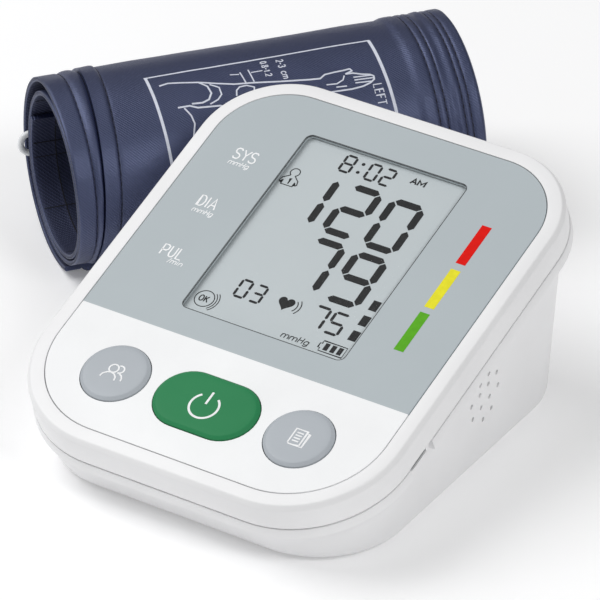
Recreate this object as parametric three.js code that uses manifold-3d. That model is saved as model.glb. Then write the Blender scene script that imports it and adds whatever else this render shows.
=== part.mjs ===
// Upper arm blood pressure monitor: a desk unit with a sloping face, and its rolled arm cuff.
// Millimetres, +Z up, +X to the user's right, +Y away from the user.
// The unit is laid out round the middle of its face. Pieces that follow the slope of the face are made
// in the face frame (x across, y up the slope, z out of the face) and hang in a group turned by faceTilt.
// A depth is measured into the unit from the face, so it is a negative z in the face frame.
import * as THREE from "three";
import { mergeVertices } from "three/addons/utils/BufferGeometryUtils.js";
import Module from "manifold-3d";

const wasm = await Module();
wasm.setup();

// ---- driving dimensions --------------------------------------------------------------------------
const faceTilt = THREE.MathUtils.degToRad(18.45);
const faceAboveFloor = 52.5; // middle of the face to the floor
const faceHalf = 66.55; // half the width of the upper housing
const faceFront = -83.75;
const faceRear = 76.65;
const frontRadius = 36.7;
const rearRadius = 29.7;
const gap = 0.3; // between neighbours that touch
const rimWidth = 6.05; // rim left round the face panel
const seamDepth = 10.3; // parting line of the two housings
const lipBottom = 14.5;
const lipProud = 0.45; // how far the lower housing's lip stands out
const wall = 2.2;
const panelThickness = 1.3;
const deckTop = 1.6; // the upper housing's deck carries the panel
const deckBottom = 3.4;
const boardTop = 8.6;
const boardBottom = 10.2;
const footHeight = 0.8;

const bodyHalf = 62; // lower housing at the floor
const bodyFront = -67;
const bodyRear = 69.5;
const bodyFrontRadius = 30;
const bodyRearRadius = 25;
const sideDraft = 0.035;
const rearDraft = 0.08;
const frontDraft = 0.42;

const windowHalf = 30.07;
const windowFront = -23.1;
const windowRear = 56.35;
const windowRadius = 2.2;

const buttonRow = -55.46;
const roundButtonX = 34.02;
const roundButtonRadius = 11.34;
const powerHalfLength = 18.1;
const powerRadius = 11.25;
const buttonRise = 1.1;
const buttonClearance = 0.3;

const speakerCentre = [10, -26.3]; // y, z
const speakerRowPitch = 5.3;
const speakerHolePitch = 5.2;
const speakerHoleRadius = 0.8;
const portFront = -45.8; // the power socket's notch in the lip, along the face
const portRear = -32.9;

const bayHalf = 32.2;
const bayFront = -6;
const bayRear = 51;
const bayHeight = 17.3;
const bayWall = 1.5;
const doorThickness = 2;
const cellRadius = 7.15;
const cellLength = 50.2;
const cellPitch = 15.6;

const frontPost = { x: 50, y: -52, joint: 20 };
const rearPost = { x: 46, y: 34, joint: 45 };
const postRadius = 3.5;

const pumpY = 35;
const pumpZ = -16;
const manifold = { x: -40, y: 16, z: -28 };

const rollYaw = THREE.MathUtils.degToRad(51);
const rollStart = [-124, 40]; // x, y of the roll's axis at its near end
const rollLength = 142;
const rollFar = 33.4; // half-axes of the roll's outside
const rollNear = 38;
const rollTop = 35.1;
const rollBottom = 31;
const rollFrom = 65; // degrees round the roll from the top, first turn
const rollTo = 930; // degrees, outer end of the cloth
const turnPitch = 2.2;
const ringRoom = 3.6; // extra room inside the last turn, on the far side, for the ring
const clothThickness = 0.45;
const bladderThickness = 0.4;
const layerGap = 0.2;
const ringAngle = 97;
const ringWire = 1.1;
const ringHeight = 9.4;
const ringOverhang = 3.2;
const portAngle = 835;
const portAlong = 105;

// ---- materials -----------------------------------------------------------------------------------
function finish(color, roughness, metalness = 0) {
  return new THREE.MeshStandardMaterial({ color, roughness, metalness });
}
const whiteShell = finish(0xf2f2f2, 0.42);
const panelPrint = finish(0xb7c0c4, 0.35);
const clearLens = finish(0xdfe6e8, 0.08);
const liquidCrystal = finish(0xbfc8cb, 0.3);
const darkPlastic = finish(0x2b2d30, 0.55);
const circuitBoard = finish(0x1f6b3a, 0.5);
const chipPlastic = finish(0x17181a, 0.45);
const steel = finish(0xc4c6c8, 0.3, 1);
const grayButton = finish(0xb4bdc2, 0.45);
const greenButton = finish(0x368a56, 0.45);
const rubber = finish(0x3a3b3d, 0.85);
const silicone = finish(0xe4e4de, 0.5);
const foam = finish(0x6d6f73, 0.95);
const cellWrap = finish(0x2f5c3c, 0.4);
const navyCloth = finish(0x3c405f, 0.8);
const liningCloth = finish(0x23263a, 0.85);
const bladderFilm = finish(0x8a8d94, 0.5);

// ---- solids --------------------------------------------------------------------------------------
function toSolid(geometry) {
  const bare = geometry.clone();
  bare.deleteAttribute("normal");
  bare.deleteAttribute("uv");
  const merged = mergeVertices(bare, 1e-4);
  const vertProperties = new Float32Array(merged.attributes.position.array);
  const triVerts = new Uint32Array(merged.index.array);
  return new wasm.Manifold(new wasm.Mesh({ numProp: 3, vertProperties, triVerts }));
}

function toGeometry(solid) {
  const cut = solid.getMesh();
  const geometry = new THREE.BufferGeometry();
  geometry.setAttribute("position", new THREE.BufferAttribute(new Float32Array(cut.vertProperties), 3));
  geometry.setIndex(new THREE.BufferAttribute(new Uint32Array(cut.triVerts), 1));
  return geometry;
}

function join(...geometries) {
  return toGeometry(geometries.map(toSolid).reduce((whole, next) => whole.add(next)));
}

function cut(geometry, ...tools) {
  return toGeometry(tools.map(toSolid).reduce((whole, tool) => whole.subtract(tool), toSolid(geometry)));
}

// A box from its lowest and highest corners.
function box(low, high) {
  const size = high.map((value, i) => value - low[i]);
  const middle = high.map((value, i) => (value + low[i]) / 2);
  return new THREE.BoxGeometry(...size).translate(...middle);
}

// A plate of a flat shape, between two depths under the face.
function plate(shape, top, bottom, curveSegments = 5) {
  const options = { depth: bottom - top, bevelEnabled: false, curveSegments };
  return new THREE.ExtrudeGeometry(shape, options).translate(0, 0, -bottom);
}

// A cylinder along the face frame's z, between two depths.
function rod(x, y, radius, top, bottom, sides = 12) {
  const geometry = new THREE.CylinderGeometry(radius, radius, bottom - top, sides);
  return geometry.rotateX(Math.PI / 2).translate(x, y, -(top + bottom) / 2);
}

// A solid of revolution about z from a closed profile of [radius, z] points.
function turned(profile, sides = 16) {
  const points = profile.map(([r, z]) => new THREE.Vector2(r, z));
  return new THREE.LatheGeometry(points, sides).rotateX(Math.PI / 2);
}

// The same solid of revolution laid along x.
function turnedAlongX(profile, sides = 16) {
  return turned(profile, sides).rotateY(Math.PI / 2);
}

function tube(points, radius, steps, sides = 8) {
  const path = new THREE.CatmullRomCurve3(points.map((p) => new THREE.Vector3(...p)));
  const section = new THREE.Shape();
  for (let i = 0; i < sides; i += 1) {
    const angle = (i / sides) * 2 * Math.PI;
    const corner = [radius * Math.cos(angle), radius * Math.sin(angle)];
    if (i === 0) section.moveTo(...corner);
    else section.lineTo(...corner);
  }
  section.closePath();
  return new THREE.ExtrudeGeometry(section, { steps, extrudePath: path });
}

// ---- outlines ------------------------------------------------------------------------------------
// A rectangle with round corners, whose front and rear corners differ.
function roundedOutline(half, front, rear, frontR, rearR) {
  const shape = new THREE.Shape();
  const quarter = Math.PI / 2;
  shape.moveTo(-half + frontR, front);
  shape.lineTo(half - frontR, front);
  shape.absarc(half - frontR, front + frontR, frontR, -quarter, 0);
  shape.lineTo(half, rear - rearR);
  shape.absarc(half - rearR, rear - rearR, rearR, 0, quarter);
  shape.lineTo(-half + rearR, rear);
  shape.absarc(-half + rearR, rear - rearR, rearR, quarter, 2 * quarter);
  shape.lineTo(-half, front + frontR);
  shape.absarc(-half + frontR, front + frontR, frontR, 2 * quarter, 3 * quarter);
  return shape;
}

// The outline of the face, moved in by inset on every side.
function faceOutline(inset) {
  const [half, front, rear] = [faceHalf - inset, faceFront + inset, faceRear - inset];
  return roundedOutline(half, front, rear, frontRadius - inset, rearRadius - inset);
}

function windowOutline(margin) {
  const radius = Math.max(windowRadius + margin, 0.5);
  return roundedOutline(windowHalf + margin, windowFront - margin, windowRear + margin, radius, radius);
}

// A slot shape with round ends, centred on the button row.
function powerOutline(margin) {
  const radius = powerRadius + margin;
  const end = powerHalfLength - powerRadius;
  const shape = new THREE.Shape();
  shape.moveTo(-end, buttonRow - radius);
  shape.lineTo(end, buttonRow - radius);
  shape.absarc(end, buttonRow, radius, -Math.PI / 2, Math.PI / 2);
  shape.lineTo(-end, buttonRow + radius);
  shape.absarc(-end, buttonRow, radius, Math.PI / 2, 1.5 * Math.PI);
  return shape;
}

// Tools that open the face over the display and round the buttons.
function buttonHoles(top, bottom) {
  const sides = [-roundButtonX, roundButtonX];
  const round = sides.map((x) => rod(x, buttonRow, roundButtonRadius + buttonClearance, top, bottom, 32));
  return [...round, plate(powerOutline(buttonClearance), top, bottom, 8)];
}

// Turns a geometry of the face frame into the unit's level frame.
function tilted(geometry) {
  return geometry.rotateX(faceTilt);
}

// A point of the face frame in the unit's level frame.
function facePoint(x, y, depth) {
  return new THREE.Vector3(x, y, -depth).applyAxisAngle(new THREE.Vector3(1, 0, 0), faceTilt);
}

// ---- upper housing and what it carries -------------------------------------------------------------
function upperHousing() {
  const bevel = 1.7;
  const options = {
    depth: seamDepth,
    bevelThickness: bevel,
    bevelSize: bevel,
    bevelOffset: -bevel,
    bevelSegments: 2,
    curveSegments: 5,
  };
  const block = new THREE.ExtrudeGeometry(faceOutline(0), options).translate(0, 0, -seamDepth - bevel);
  const below = box([-90, -100, -40], [90, 100, -seamDepth + gap / 2]);
  const panelRecess = plate(faceOutline(rimWidth - gap), -1, deckTop);
  const inside = plate(faceOutline(wall), deckBottom, seamDepth + 1);
  const displayHole = plate(windowOutline(5.5), 0, deckBottom + 1);
  const shell = cut(block, below, panelRecess, inside, displayHole, ...buttonHoles(0, deckBottom + 1));
  const posts = [];
  const pilots = [];
  for (const post of [frontPost, rearPost]) {
    for (const x of [-post.x, post.x]) {
      posts.push(rod(x, post.y, postRadius, deckBottom - 0.5, post.joint));
      pilots.push(rod(x, post.y, 1.35, post.joint - 9, post.joint + 1, 8));
    }
  }
  const boardPillars = [-36, 44].flatMap((y) => [-39, 39].map((x) => [x, y]));
  const pillars = boardPillars.map(([x, y]) => rod(x, y, 1.6, deckBottom - 0.5, boardTop - gap, 8));
  return cut(join(shell, ...posts, ...pillars), ...pilots);
}

function facePanel() {
  const blank = plate(faceOutline(rimWidth), 0, panelThickness);
  return cut(blank, plate(windowOutline(0), -1, 2), ...buttonHoles(-1, 2));
}

function lcdFrame() {
  return cut(plate(windowOutline(6.8), 4.2, 5.6, 2), plate(windowOutline(2), 3, 7, 2));
}

function switchCase(x) {
  return cut(box([x - 3, buttonRow - 3, -boardTop + gap], [x + 3, buttonRow + 3, -5.4]), rod(x, buttonRow, 2.1, 5, 7.3));
}

function roundButton() {
  const r = roundButtonRadius;
  const profile = [
    [0, buttonRise],
    [r - 1.5, buttonRise],
    [r - 0.5, buttonRise - 0.35],
    [r, 0],
    [r, -3.7],
    [r + 1.3, -3.7],
    [r + 1.3, -4.6],
    [0, -4.6],
  ];
  return turned(profile.reverse(), 32);
}

function powerButton() {
  const cap = new THREE.ExtrudeGeometry(powerOutline(0), {
    depth: buttonRise + 2.6,
    bevelThickness: 1,
    bevelSize: 1.1,
    bevelOffset: -1.1,
    bevelSegments: 2,
    curveSegments: 8,
  }).translate(0, 0, -3.6);
  return join(cap, plate(powerOutline(1.3), 3.7, 4.6, 8));
}

// ---- lower housing -------------------------------------------------------------------------------
// The tub under the lip: level floor, walls that lean out with height, moved in by inset.
function tub(inset, bottom) {
  const bevel = 2.4;
  const shape = roundedOutline(
    bodyHalf - inset,
    bodyFront + inset,
    bodyRear - inset,
    bodyFrontRadius - inset,
    bodyRearRadius - inset,
  );
  const options = {
    depth: 90,
    bevelThickness: bevel,
    bevelSize: bevel,
    bevelOffset: -bevel,
    bevelSegments: 2,
    curveSegments: 5,
  };
  const geometry = new THREE.ExtrudeGeometry(shape, options).translate(0, 0, bottom + bevel);
  const position = geometry.attributes.position;
  for (let i = 0; i < position.count; i += 1) {
    const height = position.getZ(i) + faceAboveFloor;
    const [x, y] = [position.getX(i), position.getY(i)];
    const along = y > 0 ? 1 + (rearDraft * height) / bodyRear : 1 - (frontDraft * height) / bodyFront;
    position.setX(i, x * (1 + (sideDraft * height) / bodyHalf));
    position.setY(i, y * along);
  }
  return geometry;
}

// Holes of the loudspeaker: rows of 2, 4, 4 and 2 that follow the slope of the lip.
function speakerHoles() {
  const rows = [
    { count: 2, row: 1.5, shift: 1.5 },
    { count: 4, row: 0.5, shift: 0.4 },
    { count: 4, row: -0.5, shift: 0 },
    { count: 2, row: -1.5, shift: 0 },
  ];
  return rows.flatMap(({ count, row, shift }) => {
    return Array.from({ length: count }, (_, i) => {
      const along = (i - (count - 1) / 2) * speakerHolePitch + shift;
      const y = speakerCentre[0] + along * Math.cos(faceTilt) - row * 1.6;
      const z = speakerCentre[1] + along * Math.sin(faceTilt) + row * speakerRowPitch;
      const hole = new THREE.CylinderGeometry(speakerHoleRadius, speakerHoleRadius, 8, 8);
      return hole.rotateZ(Math.PI / 2).translate(62, y, z);
    });
  });
}

function lowerHousing() {
  const floorTop = -faceAboveFloor + footHeight;
  const aboveLip = tilted(box([-100, -120, -lipBottom + 0.3], [100, 120, 90]));
  const aboveSeam = tilted(box([-100, -120, -seamDepth - gap / 2], [100, 120, 90]));
  const body = cut(tub(0, floorTop), aboveLip);
  const lip = tilted(plate(faceOutline(-lipProud), seamDepth + gap / 2, lipBottom));
  const hollow = tub(wall, floorTop + wall);
  const bayOuter = box(
    [-bayHalf - bayWall, bayFront - bayWall, floorTop + 0.5],
    [bayHalf + bayWall, bayRear + bayWall, floorTop + doorThickness + bayHeight + bayWall],
  );
  const bayInner = box(
    [-bayHalf, bayFront, floorTop + doorThickness],
    [bayHalf, bayRear, floorTop + doorThickness + bayHeight],
  );
  const doorway = box([-bayHalf - 0.8, bayFront - 2, floorTop - 1], [bayHalf + 0.8, bayRear + 2, floorTop + doorThickness + gap]);
  const cheeks = box([-bayHalf - 4, bayFront - 5, floorTop + 1], [bayHalf + 4, bayRear + 5, floorTop + doorThickness + gap + 1.5]);
  const bosses = [];
  const bores = [];
  for (const post of [frontPost, rearPost]) {
    for (const x of [-post.x, post.x]) {
      bosses.push(tilted(rod(x, post.y, postRadius + 1.2, post.joint + gap, 90)));
      bores.push(tilted(rod(x, post.y, 1.6, post.joint - 1, 95, 8)));
      bores.push(tilted(rod(x, post.y, 3.3, post.joint + 4, 95)));
    }
  }
  const underFloor = box([-100, -100, -150], [100, 100, floorTop + 1]);
  const trimmedBosses = bosses.map((boss) => cut(boss, underFloor));
  const shell = join(cut(join(body, lip), hollow, aboveSeam), bayOuter, cheeks, ...trimmedBosses);
  const footSeats = footPlaces().map(([x, y]) => {
    return new THREE.CylinderGeometry(6.3, 6.3, 2, 16).rotateX(Math.PI / 2).translate(x, y, -faceAboveFloor + 0.6);
  });
  const notch = tilted(box([65.2, portFront, -lipBottom - 0.1], [72, portRear, -seamDepth + 1]));
  const portMiddle = (portFront + portRear) / 2;
  const socketHole = tilted(box([55, portMiddle - 4.75, -14.2], [70, portMiddle + 4.75, -10.6]));
  const inletHole = new THREE.CylinderGeometry(5.2, 5.2, 12, 16).rotateZ(Math.PI / 2);
  inletHole.translate(-62, manifold.y, manifold.z);
  const tools = [bayInner, doorway, ...bores, ...footSeats, notch, socketHole, inletHole, ...speakerHoles()];
  return cut(shell, ...tools);
}

function footPlaces() {
  return [
    [-44, -40],
    [44, -40],
    [-44, 46],
    [44, 46],
  ];
}

function caseScrew(post) {
  const head = post.joint + 4 + gap;
  const profile = [
    [0, -head - 2.2],
    [2.9, -head - 2.2],
    [2.9, -head],
    [1.1, -head],
    [1.1, -post.joint + 7],
    [0, -post.joint + 8],
  ];
  return turned(profile, 10);
}

function batteryDoor() {
  const bottom = -faceAboveFloor + footHeight;
  const leaf = box([-bayHalf - 0.5, bayFront - 1.7, bottom], [bayHalf + 0.5, bayRear + 1.7, bottom + doorThickness]);
  const grips = [-4, 0, 4].map((shift) => {
    return box([-9, bayRear - 8 + shift, bottom - 1], [9, bayRear - 6.6 + shift, bottom + 0.6]);
  });
  return cut(leaf, ...grips);
}

function batteryCell() {
  const profile = [
    [0, 0],
    [cellRadius, 0],
    [cellRadius, cellLength - 1.5],
    [2.7, cellLength - 1.5],
    [2.7, cellLength],
    [0, cellLength],
  ];
  return turned(profile, 16);
}

// ---- air system ----------------------------------------------------------------------------------
function pumpHead() {
  const profile = [
    [0, -33],
    [2, -33],
    [2, -30],
    [12.5, -30],
    [13.5, -29],
    [13.5, -8],
    [12.5, -7],
    [0, -7],
  ];
  return turnedAlongX(profile, 20).translate(0, pumpY, pumpZ);
}

function pumpMotor() {
  const profile = [
    [0, -2],
    [11, -2],
    [12, -1],
    [12, 24],
    [2.5, 24],
    [2.5, 26],
    [0, 26],
  ];
  return turnedAlongX(profile, 20).translate(0, pumpY, pumpZ);
}

function pumpCrank() {
  const disc = turnedAlongX([[0, -4.2], [5.5, -4.2], [5.5, -2.7], [0, -2.7]], 16);
  const pin = turnedAlongX([[0, -5.6], [1, -5.6], [1, -4], [0, -4]], 8).translate(0, 0, 3);
  return join(disc, pin).translate(0, pumpY, pumpZ);
}

// The foam cradle that holds the pump on top of the battery bay.
function pumpCradle() {
  const bayTop = -faceAboveFloor + footHeight + doorThickness + bayHeight + bayWall;
  const block = box([-24, pumpY - 12, bayTop + gap], [18, pumpY + 12, pumpZ - 6]);
  const bed = turnedAlongX([[0, -40], [13.9, -40], [13.9, 40], [0, 40]], 20).translate(0, pumpY, pumpZ);
  return cut(block, bed);
}

function airInlet() {
  const profile = [
    [1.95, -64.3],
    [6, -64.3],
    [6.4, -63.9],
    [6.4, -63.3],
    [4.9, -63.3],
    [4.9, -56.5],
    [1.95, -56.5],
    [1.95, -64.3],
  ];
  return turnedAlongX(profile, 20).translate(0, manifold.y, manifold.z);
}

// ---- cuff ----------------------------------------------------------------------------------------
// The cuff's frame: x along the roll from its near end, y to the far side, z up from the roll's middle.
function rollRadius(angle) {
  const turn = THREE.MathUtils.degToRad(angle);
  const [up, out] = [Math.cos(turn), Math.sin(turn)];
  const height = up > 0 ? rollTop : rollBottom;
  const side = out > 0 ? rollFar : rollNear;
  const oval = 1 / Math.hypot(up / height, out / side);
  const room = angle < 630 ? (ringRoom * (1 + out)) / 2 : 0;
  return oval - (turnPitch * (rollTo - angle)) / 360 - room;
}

function rollPoint(angle, depth) {
  const turn = THREE.MathUtils.degToRad(angle);
  const radius = rollRadius(angle) - depth;
  return new THREE.Vector2(radius * Math.sin(turn), radius * Math.cos(turn));
}

// One sheet of the roll, between two depths under the outside of its turn.
function rolledSheet(from, to, top, bottom, start, end) {
  const steps = Math.round((to - from) / 9);
  const angles = Array.from({ length: steps + 1 }, (_, i) => from + ((to - from) * i) / steps);
  const outside = angles.map((angle) => rollPoint(angle, top));
  const inside = angles.map((angle) => rollPoint(angle, bottom)).reverse();
  const shape = new THREE.Shape([...outside, ...inside]);
  const sheet = new THREE.ExtrudeGeometry(shape, { depth: end - start, bevelEnabled: false });
  // shape x is the far side and shape y is up: stand the sheet's length along the roll
  const turn = new THREE.Matrix4().set(0, 0, 1, 0, 1, 0, 0, 0, 0, 1, 0, 0, 0, 0, 0, 1);
  return sheet.translate(0, 0, start).applyMatrix4(turn);
}

const bladderTop = clothThickness + layerGap;
const liningTop = bladderTop + bladderThickness + layerGap;
const stackDepth = liningTop + clothThickness;

// Puts a piece made upright on z onto the roll's outside, pointing out.
function ontoRoll(geometry, angle, along, lift) {
  const turn = THREE.MathUtils.degToRad(angle);
  const spot = rollPoint(angle, -lift);
  return geometry.rotateX(-turn).translate(along, spot.x, spot.y);
}

function cuffAirPort() {
  const profile = [
    [1.1, -0.35],
    [2.9, -0.35],
    [2.9, 0.3],
    [5.5, 0.3],
    [5.5, 1.2],
    [3.2, 1.8],
    [2.3, 3],
    [2.3, 8],
    [1.1, 8],
    [1.1, -0.35],
  ];
  return ontoRoll(turned(profile, 16), portAngle, portAlong, 0);
}

function cuffOuterCloth() {
  const sheet = rolledSheet(rollFrom, rollTo, 0, clothThickness, 0, rollLength);
  const hole = turned([[0, -1], [3.2, -1], [3.2, 2], [0, 2]], 16);
  return cut(sheet, ontoRoll(hole, portAngle, portAlong, 0));
}

// Middle of the room that the last turn leaves for the ring.
function ringRadius() {
  const outerInside = rollRadius(ringAngle + 720) - stackDepth;
  const innerOutside = rollRadius(ringAngle + 360);
  return (outerInside + innerOutside) / 2;
}

// A ring of round wire, as long as the cuff is wide: two straight bars and two half-round ends.
function cuffRing() {
  const reach = ringHeight / 2 - ringWire;
  const [low, high] = [-ringOverhang + ringHeight / 2, rollLength + ringOverhang - ringHeight / 2];
  const bar = (y) => {
    const rodAlong = new THREE.CylinderGeometry(ringWire, ringWire, high - low + 0.2, 8);
    return rodAlong.rotateZ(Math.PI / 2).translate((low + high) / 2, y, 0);
  };
  const bend = (x, side) => {
    const steps = 8;
    const points = Array.from({ length: steps + 1 }, (_, i) => {
      const angle = -Math.PI / 2 + (Math.PI * i) / steps;
      return [x + side * reach * Math.cos(angle), reach * Math.sin(angle), 0];
    });
    return tube(points, ringWire, steps);
  };
  return join(bar(-reach), bar(reach), bend(low, -1), bend(high, 1));
}

// The sewn sleeve that holds the ring's lower bar, with its tail along the cloth.
function ringSleeve() {
  const barY = -(ringHeight / 2 - ringWire);
  const [start, end] = [10, rollLength - 10];
  const around = turnedAlongX([[1.3, start], [1.6, start], [1.6, end], [1.3, end], [1.3, start]], 12);
  const tail = box([start, barY - 8, -1.58], [end, barY - 0.2, -1.3]);
  return join(around.translate(0, barY, 0), tail);
}

function ontoRing(geometry) {
  const turn = THREE.MathUtils.degToRad(ringAngle);
  const radius = ringRadius();
  geometry.rotateX(-turn);
  return geometry.translate(0, radius * Math.sin(turn), radius * Math.cos(turn));
}

// ---- assembly ------------------------------------------------------------------------------------
function addTo(group, name, geometry, material, place = [0, 0, 0]) {
  const mesh = new THREE.Mesh(geometry, material);
  mesh.name = name;
  mesh.position.set(...place);
  group.add(mesh);
}

function faceGroup() {
  const face = new THREE.Group();
  face.rotation.x = faceTilt;
  const add = (...args) => addTo(face, ...args);
  add("upper_housing", upperHousing(), whiteShell);
  add("face_panel", facePanel(), panelPrint);
  add("display_window", plate(windowOutline(-gap), 0.5, 1.1, 2), clearLens);
  add("lcd_panel", plate(windowOutline(5), 1.7, 3.9, 2), liquidCrystal);
  add("lcd_frame", lcdFrame(), darkPlastic);
  add("lcd_connector", box([-26, -21.5, -boardTop + gap], [26, -18.8, -4.2]), rubber);
  add("main_board", plate(roundedOutline(41.5, -69, 48, 3, 3), boardTop, boardBottom, 1), circuitBoard);
  add("controller_chip", box([-7, -30, -boardBottom - 1.9], [7, -16, -boardBottom - gap]), chipPlastic);
  add("pressure_sensor", pressureSensor(), chipPlastic);
  const keys = { user: -roundButtonX, power: 0, memory: roundButtonX };
  for (const [name, x] of Object.entries(keys)) {
    add(`${name}_switch`, switchCase(x), darkPlastic);
    add(`${name}_plunger`, rod(x, buttonRow, 1.75, 4.9, 6.5), steel);
  }
  add("user_button", roundButton(), grayButton, [-roundButtonX, buttonRow, 0]);
  add("memory_button", roundButton(), grayButton, [roundButtonX, buttonRow, 0]);
  add("power_button", powerButton(), greenButton);
  const screws = [frontPost, rearPost].flatMap((post) => [-1, 1].map((side) => ({ post, x: side * post.x })));
  screws.forEach(({ post, x }, i) => add(`case_screw_${i + 1}`, caseScrew(post), steel, [x, post.y, 0]));
  const portMiddle = (portFront + portRear) / 2;
  add("power_socket", powerSocket(), steel, [0, portMiddle, -12.4]);
  return face;
}

function pressureSensor() {
  const spot = { x: -37.5, y: 11.1 };
  const top = -boardBottom - gap;
  const body = box([spot.x - 3.5, spot.y - 4, top - 4], [spot.x + 3.5, spot.y + 4, top]);
  return join(body, rod(spot.x, spot.y, 1.5, boardBottom + 3, 17, 8));
}

function powerSocket() {
  const sleeve = box([56.5, -4.45, -1.5], [64.8, 4.45, 1.5]);
  const mouth = box([58.5, -4.1, -1.15], [66, 4.1, 1.15]);
  const tongue = box([58, -3.2, -0.35], [63.8, 3.2, 0.35]);
  return join(cut(sleeve, mouth), tongue);
}

function levelGroup() {
  const level = new THREE.Group();
  const add = (...args) => addTo(level, ...args);
  const floorTop = -faceAboveFloor + footHeight;
  add("lower_housing", lowerHousing(), whiteShell);
  add("battery_door", batteryDoor(), whiteShell);
  footPlaces().forEach(([x, y], i) => {
    const pad = turned([[0, 0], [5.4, 0], [6, 0.5], [6, 1.3], [0, 1.3]], 16);
    add(`foot_${i + 1}`, pad, rubber, [x, y, -faceAboveFloor]);
  });
  const cellZ = floorTop + doorThickness + gap + cellRadius;
  for (let i = 0; i < 4; i += 1) {
    const x = (i - 1.5) * cellPitch;
    const forward = i % 2 === 0;
    const spin = forward ? -Math.PI / 2 : Math.PI / 2;
    const start = forward ? bayFront + 5.2 : bayRear - 5.2;
    add(`battery_${i + 1}`, batteryCell().rotateX(spin).translate(x, start, cellZ), cellWrap);
    const spring = turned([[0, 0], [4.4, 0], [4.4, 0.6], [2.2, 4], [0, 4]], 12).rotateX(spin);
    const springY = forward ? bayFront + 0.9 : bayRear - 0.9;
    add(`battery_spring_${i + 1}`, spring.translate(x, springY, cellZ), steel);
  }
  const plateLow = floorTop + doorThickness + 2.5;
  const plateHigh = floorTop + doorThickness + bayHeight - 2.5;
  add("contact_plate_front", box([-30, bayFront + 0.2, plateLow], [30, bayFront + 0.6, plateHigh]), steel);
  add("contact_plate_rear", box([-30, bayRear - 0.6, plateLow], [30, bayRear - 0.2, plateHigh]), steel);
  const cone = [
    [0, 55],
    [13, 55],
    [14, 56],
    [14, 59.4],
    [12.5, 59.4],
    [5, 57.4],
    [0, 58.2],
  ];
  add("speaker", turnedAlongX(cone, 20).translate(0, ...speakerCentre), darkPlastic);
  add("pump_head", pumpHead(), whiteShell);
  add("pump_motor", pumpMotor(), steel);
  add("pump_crank", pumpCrank(), darkPlastic);
  add("pump_cradle", pumpCradle(), foam);
  const { x, y, z } = manifold;
  add("air_manifold", box([x - 5, y - 4, z - 4], [x + 5, y + 4, z + 4]), whiteShell);
  add("exhaust_valve", box([x - 6, y - 24, z - 6], [x + 6, y - 10, z + 6]), steel);
  add("air_inlet", airInlet(), darkPlastic);
  add("tube_valve", tube([[x, y - 4.3, z], [x, y - 7, z], [x, y - 9.7, z]], 2.4, 2), silicone);
  add("tube_inlet", tube([[x - 5.3, y, z], [x - 11, y, z], [-56.2, y, z]], 2.4, 2), silicone);
  const sensorEnd = facePoint(-37.5, 11.1, 17);
  add("tube_sensor", tube([[-37.5, y, z + 4.3], [-37.5, y, z + 9], [-37.5, y, sensorEnd.z - 0.9]], 1.6, 2), silicone);
  const pumpRoute = [
    [-33.3, pumpY, pumpZ],
    [-36.5, pumpY, pumpZ - 0.3],
    [-39.8, pumpY - 2.2, pumpZ - 2.6],
    [-41, pumpY - 6, pumpZ - 7],
    [x, y + 8, z + 0.6],
    [x, y + 4.8, z],
  ];
  add("tube_pump", tube(pumpRoute, 2.4, 12), silicone);
  return level;
}

function cuffGroup() {
  const cuff = new THREE.Group();
  cuff.rotation.z = rollYaw;
  const add = (...args) => addTo(cuff, ...args);
  add("cuff_outer_cloth", cuffOuterCloth(), navyCloth);
  add("cuff_lining", rolledSheet(rollFrom, rollTo, liningTop, stackDepth, 0, rollLength), liningCloth);
  const bladderBottom = bladderTop + bladderThickness;
  add("cuff_bladder", rolledSheet(480, 880, bladderTop, bladderBottom, 12, rollLength - 12), bladderFilm);
  add("cuff_hook_patch", rolledSheet(885, 926, stackDepth + 0.1, stackDepth + 0.35, 20, rollLength - 20), rubber);
  add("cuff_air_port", cuffAirPort(), silicone);
  add("cuff_ring", ontoRing(cuffRing()), steel);
  add("cuff_ring_sleeve", ontoRing(ringSleeve()), navyCloth);
  const lowest = new THREE.Box3().setFromObject(cuff).min.z;
  cuff.position.set(...rollStart, -faceAboveFloor - lowest);
  return cuff;
}

const group = new THREE.Group();
group.add(faceGroup(), levelGroup(), cuffGroup());
group.updateMatrixWorld(true);
const bounds = new THREE.Box3().setFromObject(group, true);
const middle = bounds.getCenter(new THREE.Vector3());
group.position.set(-middle.x, -middle.y, -bounds.min.z);
group.updateMatrixWorld(true);

export default group;
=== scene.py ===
import math

import bmesh
import bpy
from mathutils import Matrix, Vector, noise


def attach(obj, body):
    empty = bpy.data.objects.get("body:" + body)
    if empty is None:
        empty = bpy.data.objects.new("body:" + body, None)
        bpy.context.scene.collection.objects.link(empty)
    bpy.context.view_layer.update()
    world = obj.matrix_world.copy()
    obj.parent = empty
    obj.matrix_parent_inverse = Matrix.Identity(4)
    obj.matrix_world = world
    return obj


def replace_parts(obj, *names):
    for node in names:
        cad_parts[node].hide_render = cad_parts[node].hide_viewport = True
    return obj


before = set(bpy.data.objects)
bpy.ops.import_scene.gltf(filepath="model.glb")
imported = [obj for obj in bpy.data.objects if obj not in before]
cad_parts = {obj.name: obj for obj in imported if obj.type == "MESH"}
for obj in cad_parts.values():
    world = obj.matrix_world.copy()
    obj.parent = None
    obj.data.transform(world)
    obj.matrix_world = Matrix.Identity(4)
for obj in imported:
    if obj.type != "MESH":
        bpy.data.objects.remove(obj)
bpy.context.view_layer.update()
MM = 0.001

# ---- where things are ------------------------------------------------------------------------------
TILT = math.radians(18.45)
FACE_ORIGIN = Vector((41.182, -46.119, 52.5))
FACE = Matrix.Translation(FACE_ORIGIN) @ Matrix.Rotation(TILT, 4, "X")
LEVEL = Matrix.Translation(FACE_ORIGIN)
ROLL_YAW = math.radians(51)
ROLL = Matrix.Translation((-82.818, -6.119, 30.8)) @ Matrix.Rotation(ROLL_YAW, 4, "Z")

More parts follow.
